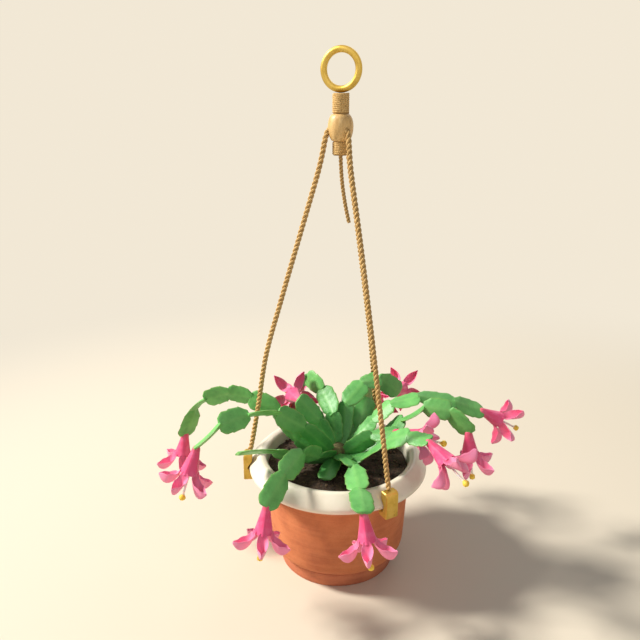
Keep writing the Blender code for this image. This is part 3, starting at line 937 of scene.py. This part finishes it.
def add_segment(mesh, start, end, axes, full, neck, end_width, draw, tone):
    along, wide, thick = axes
    length = (end - start).length
    bow = draw.uniform(0.4, 1.3) * draw.choice((-1, 1))
    twist = math.radians(draw.uniform(-7, 7))
    teeth = 3 if length > 22 else 2
    shifts = (draw.uniform(0, 0.3), draw.uniform(0, 0.3))
    rows, columns = 30, 24
    rings = []
    first = len(mesh["points"])
    for row in range(rows + 1):
        t = row / rows
        turn = twist * (t - 0.5) * 2
        across_axis = wide * math.cos(turn) + thick * math.sin(turn)
        through_axis = thick * math.cos(turn) - wide * math.sin(turn)
        centre = start + along * length * t + thick * bow * math.sin(math.pi * t)
        cap = math.sqrt(max(0.05, 1 - max(0.0, (t - 0.955) / 0.045) ** 2)) * math.sqrt(
            max(0.05, 1 - max(0.0, (0.03 - t) / 0.03) ** 2))
        ring = []
        for column in range(columns):
            angle = 2 * math.pi * column / columns
            across = math.cos(angle)
            which = 0 if across > 0 else 1
            half = segment_width(t, full, neck, end_width, teeth, shifts[which])
            belly = math.sqrt(max(0.0, 1 - across * across))
            level = SEGMENT_HALF_THICKNESS * (0.62 * belly + 0.14 * (1 - abs(across)))
            rib = math.exp(-(across * half / 1.5) ** 2)
            level += (0.62 * rib * (1 - 0.45 * t)) * min(1.0, half / full + 0.3)
            veins = 0.10 * math.sin(math.pi * (t * 9 - abs(across) * 2.2)) * belly * (1 - rib)
            level = (level + veins) * (0.8 + 0.2 * cap)
            if abs(math.sin(angle)) < 1e-6:
                level = 0.0
            ring.append(centre + across_axis * across * half * (0.9 + 0.1 * cap)
                        + through_axis * level * (1 if math.sin(angle) > 0 else -1))
            mesh["rib"].append(rib * (1 - 0.3 * t))
            mesh["edge"].append(smoothstep(0.86, 1.0, abs(across)))
            mesh["tone"].append(tone)
        rings.append(ring)
    mesh["faces"] += skin(rings, first=first)
    mesh["points"] += [point for ring in rings for point in ring]


def make_stem(letter, seat_height, joints, rolls, material):
    draw = random.Random(100 + ord(letter))
    joints = [Vector(joint) for joint in joints]
    out = Vector((joints[0].x, joints[0].y, 0)).normalized()
    seat = out * (CROWN_RADIUS - 1.2) + Vector((0, 0, seat_height))
    joints = [seat] + joints
    mesh = {"points": [], "faces": [], "rib": [], "edge": [], "tone": []}
    wide = None
    last = len(rolls) - 1
    for index, roll in enumerate(rolls):
        start, end = joints[index], joints[index + 1]
        axes = segment_frame(start, end, roll, wide)
        wide = axes[1]
        length = (end - start).length
        full = SEGMENT_HALF_WIDTH * min(1.0, length / 23.0) * (0.86 if index == 0 else 1.0)
        start_at = start - axes[0] * (0.0 if index == 0 else 1.6)
        end_at = end + axes[0] * (0.4 if index < last else 3.0 if letter in FLOWERS else 0.0)
        neck = NECK_HALF_WIDTH
        end_width = END_HALF_WIDTH
        tone = max(0.0, 0.9 - 0.34 * index) if index < 3 else draw.uniform(0.0, 0.5)
        add_segment(mesh, start_at, end_at, axes, full, neck, end_width, draw, tone)
    add_piece("stem_segments_" + letter, "stem_" + letter, "cladode_green", mesh["points"], mesh["faces"],
              material, 75, rib=mesh["rib"], edge=mesh["edge"], tone=mesh["tone"])


# ---------------------------------------------------------------- flowers


def flower_axes(azimuth, elevation):
    turn, tilt = math.radians(azimuth), math.radians(elevation)
    axis = Vector((math.cos(turn) * math.cos(tilt), math.sin(turn) * math.cos(tilt), math.sin(tilt)))
    aside = axis.cross(Vector((0, 0, 1))).normalized()
    return axis, aside, aside.cross(axis)


def flower_base(letter, azimuth, elevation):
    joints = STEMS[letter][1]
    tip, before = Vector(joints[-1]), Vector(joints[-2])
    axis = flower_axes(azimuth, elevation)[0]
    bend = axis.angle((tip - before).normalized())
    return tip + axis * (0.35 + 2.4 * min(1.0, abs(math.sin(bend)))) - axis * 1.2


def petal_surface(base, axis, outward, across, draw):
    """One folded petal from the mouth to its tip, as the two sides of a thin strip."""
    keels = smooth_route([(*keel, half) for keel, _, half in PETAL_LINE], 1.1)
    steps = len(keels) - 1
    margins = smooth_route([(*margin, 0) for _, margin, _ in PETAL_LINE], 0.25)
    lean = draw.uniform(-1.3, 1.3)
    columns = 16
    grid, marks = [], []
    for row, keel in enumerate(keels):
        share = row / steps
        margin = margins[round(share * (len(margins) - 1))]
        free = smoothstep(0.05, 0.4, share)
        ruffle = 0.35 * free * math.sin(share * 17 + lean * 3)
        grid_row, mark_row = [], []
        for column in range(columns + 1):
            side = 2 * column / columns - 1
            fold = abs(side) ** 1.25
            spread = math.copysign(abs(side) ** 0.7, side) * keel[2]
            along = keel[0] + (margin[0] - keel[0]) * fold + ruffle * side * side
            reach = keel[1] + (margin[1] - keel[1]) * fold
            grid_row.append(base + axis * along + outward * reach + across * (spread + lean * free))
            rib = math.exp(-(side * 4.5) ** 2)
            veins = 0.5 * smoothstep(0.55, 1.0, math.cos(side * 4.7 * math.pi)) * free
            mark_row.append((0.5 + 0.5 * share, max(rib * 0.8, veins) * (1 - 0.4 * share)))
        grid.append(grid_row)
        marks.append(mark_row)
    front, back = [], []
    for row, grid_row in enumerate(grid):
        ahead, behind = grid[min(row + 1, steps)], grid[max(row - 1, 0)]
        front_row, back_row = [], []
        for column, point in enumerate(grid_row):
            right, left = grid_row[min(column + 1, columns)], grid_row[max(column - 1, 0)]
            face = (right - left).cross(ahead[column] - behind[column]).normalized()
            thin = 0.25 * (1 - 0.7 * (2 * column / columns - 1) ** 4)
            front_row.append(point + face * thin)
            back_row.append(point - face * thin)
        front.append(front_row)
        back.append(back_row)
    return front, back, marks


def add_tube(mesh, base, axis, aside, upright):
    """The flower's conical tube, outer wall then inner, with a soft lobe behind each petal."""
    line = smooth_route([(along, radius, 0) for along, radius in TUBE_LINE], 1.2)
    walls = [(knot[0], knot[1], 0.0) for knot in line]
    # The inner wall is marked for the painted shade inside the tube.
    walls += [(knot[0], knot[1] - TUBE_WALL, 1.0) for knot in reversed(line) if knot[0] > 4.0]
    rings = []
    for along, radius, inside in walls:
        ring = []
        for side in range(40):
            angle = 2 * math.pi * side / 40
            lobe = 1 + 0.05 * smoothstep(4, 20, along) * math.cos(PETAL_COUNT * (angle - petal_angle(0)))
            around = aside * math.cos(angle) + upright * math.sin(angle)
            ring.append(base + axis * along + around * radius * lobe)
            mesh["along"].append(0.5 * max(0.0, along) / TUBE_LINE[-1][0])
            mesh["vein"].append(0.5 * smoothstep(0.8, 1.0, math.cos(PETAL_COUNT * (angle - petal_angle(0)))))
            mesh["inside"].append(inside)
        rings.append(ring)
    mesh["faces"] += skin(rings, first=len(mesh["points"]))
    mesh["points"] += [point for ring in rings for point in ring]


def petal_angle(petal):
    return 2 * math.pi * (petal * 2 + 0.5) / (PETAL_COUNT * 2) + PETAL_TURN


def add_strip(mesh, front, back, marks):
    """Joins a petal's two sides into one closed skin."""
    rings = []
    first = len(mesh["points"])
    for front_row, back_row, mark_row in zip(front, back, marks):
        ring = front_row + back_row[::-1]
        rings.append(ring)
        for share, vein in mark_row:
            mesh["along"].append(share)
            mesh["vein"].append(vein)
            mesh["inside"].append(0.0)
        for share, vein in reversed(mark_row):
            mesh["along"].append(share)
            mesh["vein"].append(vein * 0.6)
            # Painted shade: the petal's back face is darkened near the mouth.
            mesh["inside"].append(0.6 * smoothstep(0.68, 0.5, share))
    mesh["faces"] += skin(rings, first=first)
    mesh["points"] += [point for ring in rings for point in ring]


def make_flower(letter, azimuth, elevation, petals, yellow):
    draw = random.Random(500 + ord(letter))
    axis, aside, upright = flower_axes(azimuth, elevation)
    base = flower_base(letter, azimuth, elevation)
    mesh = {"points": [], "faces": [], "along": [], "vein": [], "inside": []}
    for petal in range(PETAL_COUNT):
        middle = petal_angle(petal)
        outward = aside * math.cos(middle) + upright * math.sin(middle)
        across = upright * math.cos(middle) - aside * math.sin(middle)
        front, back, marks = petal_surface(base, axis, outward, across, draw)
        add_strip(mesh, front, back, marks)
    add_tube(mesh, base, axis, aside, upright)
    add_piece("flower_petals_" + letter, "flower_" + letter, "petal_pink", mesh["points"], mesh["faces"],
              petals, 80, along=mesh["along"], vein=mesh["vein"], inside=mesh["inside"])
    make_pistil(letter, base + axis * 1.2, axis, aside, upright, yellow)


def make_pistil(letter, base, axis, aside, upright, material):
    profile = [(5.2, 0.9), (14, 0.9), (26, 0.9), (36, 0.92), (39.4, 1.0), (40.3, 1.5), (41.2, 2.2),
               (42.5, 2.5), (43.8, 2.2), (44.7, 1.3), (45.1, 0.4)]
    line = smooth_route([(along, radius, 0) for along, radius in profile], 0.8)
    rings, shares = [], []
    sides = 18
    for knot in line:
        ring = []
        for side in range(sides):
            angle = 2 * math.pi * side / sides
            lobed = knot[1] * (1 + 0.10 * math.cos(6 * angle) * smoothstep(39.5, 42, knot[0]))
            ring.append(base + axis * knot[0] + (aside * math.cos(angle) + upright * math.sin(angle)) * lobed)
            shares.append(0.80 * smoothstep(5, 39.5, knot[0]) + 0.2 * smoothstep(39.2, 40.6, knot[0]))
        rings.append(ring)
    points = [point for ring in rings for point in ring]
    add_piece("pistil_style_" + letter, "pistil_" + letter, "stigma_yellow", points, skin(rings), material,
              80, along=shares)


def face_outward():
    """Turns each closed piece's faces outward, body by body."""
    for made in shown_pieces():
        if made.type != "MESH" or "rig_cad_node" in made:
            continue
        work = bmesh.new()
        work.from_mesh(made.data)
        bmesh.ops.recalc_face_normals(work, faces=work.faces)
        work.to_mesh(made.data)
        work.free()


make_camera()
make_lights()
make_floor()
make_hanger(rope_finish(), brass_finish(), bead_finish())
make_pot(clay_finish("terracotta_look", (0.70, 0.245, 0.100), (0.60, 0.185, 0.070), (0.46, 0.125, 0.048)),
         clay_finish("saucer_clay_look", (0.68, 0.245, 0.115), (0.57, 0.180, 0.085), (0.43, 0.120, 0.058)),
         glaze_finish(), soil_finish())
make_crown(crown_finish())
green_finish = cladode_finish()
for stem_letter, (seat, stem_joints, stem_rolls) in STEMS.items():
    make_stem(stem_letter, seat, stem_joints, stem_rolls, green_finish)
pink_finish, yellow_finish = petal_finish(), pistil_finish()
for flower_letter, (flower_azimuth, flower_elevation) in FLOWERS.items():
    make_flower(flower_letter, flower_azimuth, flower_elevation, pink_finish, yellow_finish)
face_outward()
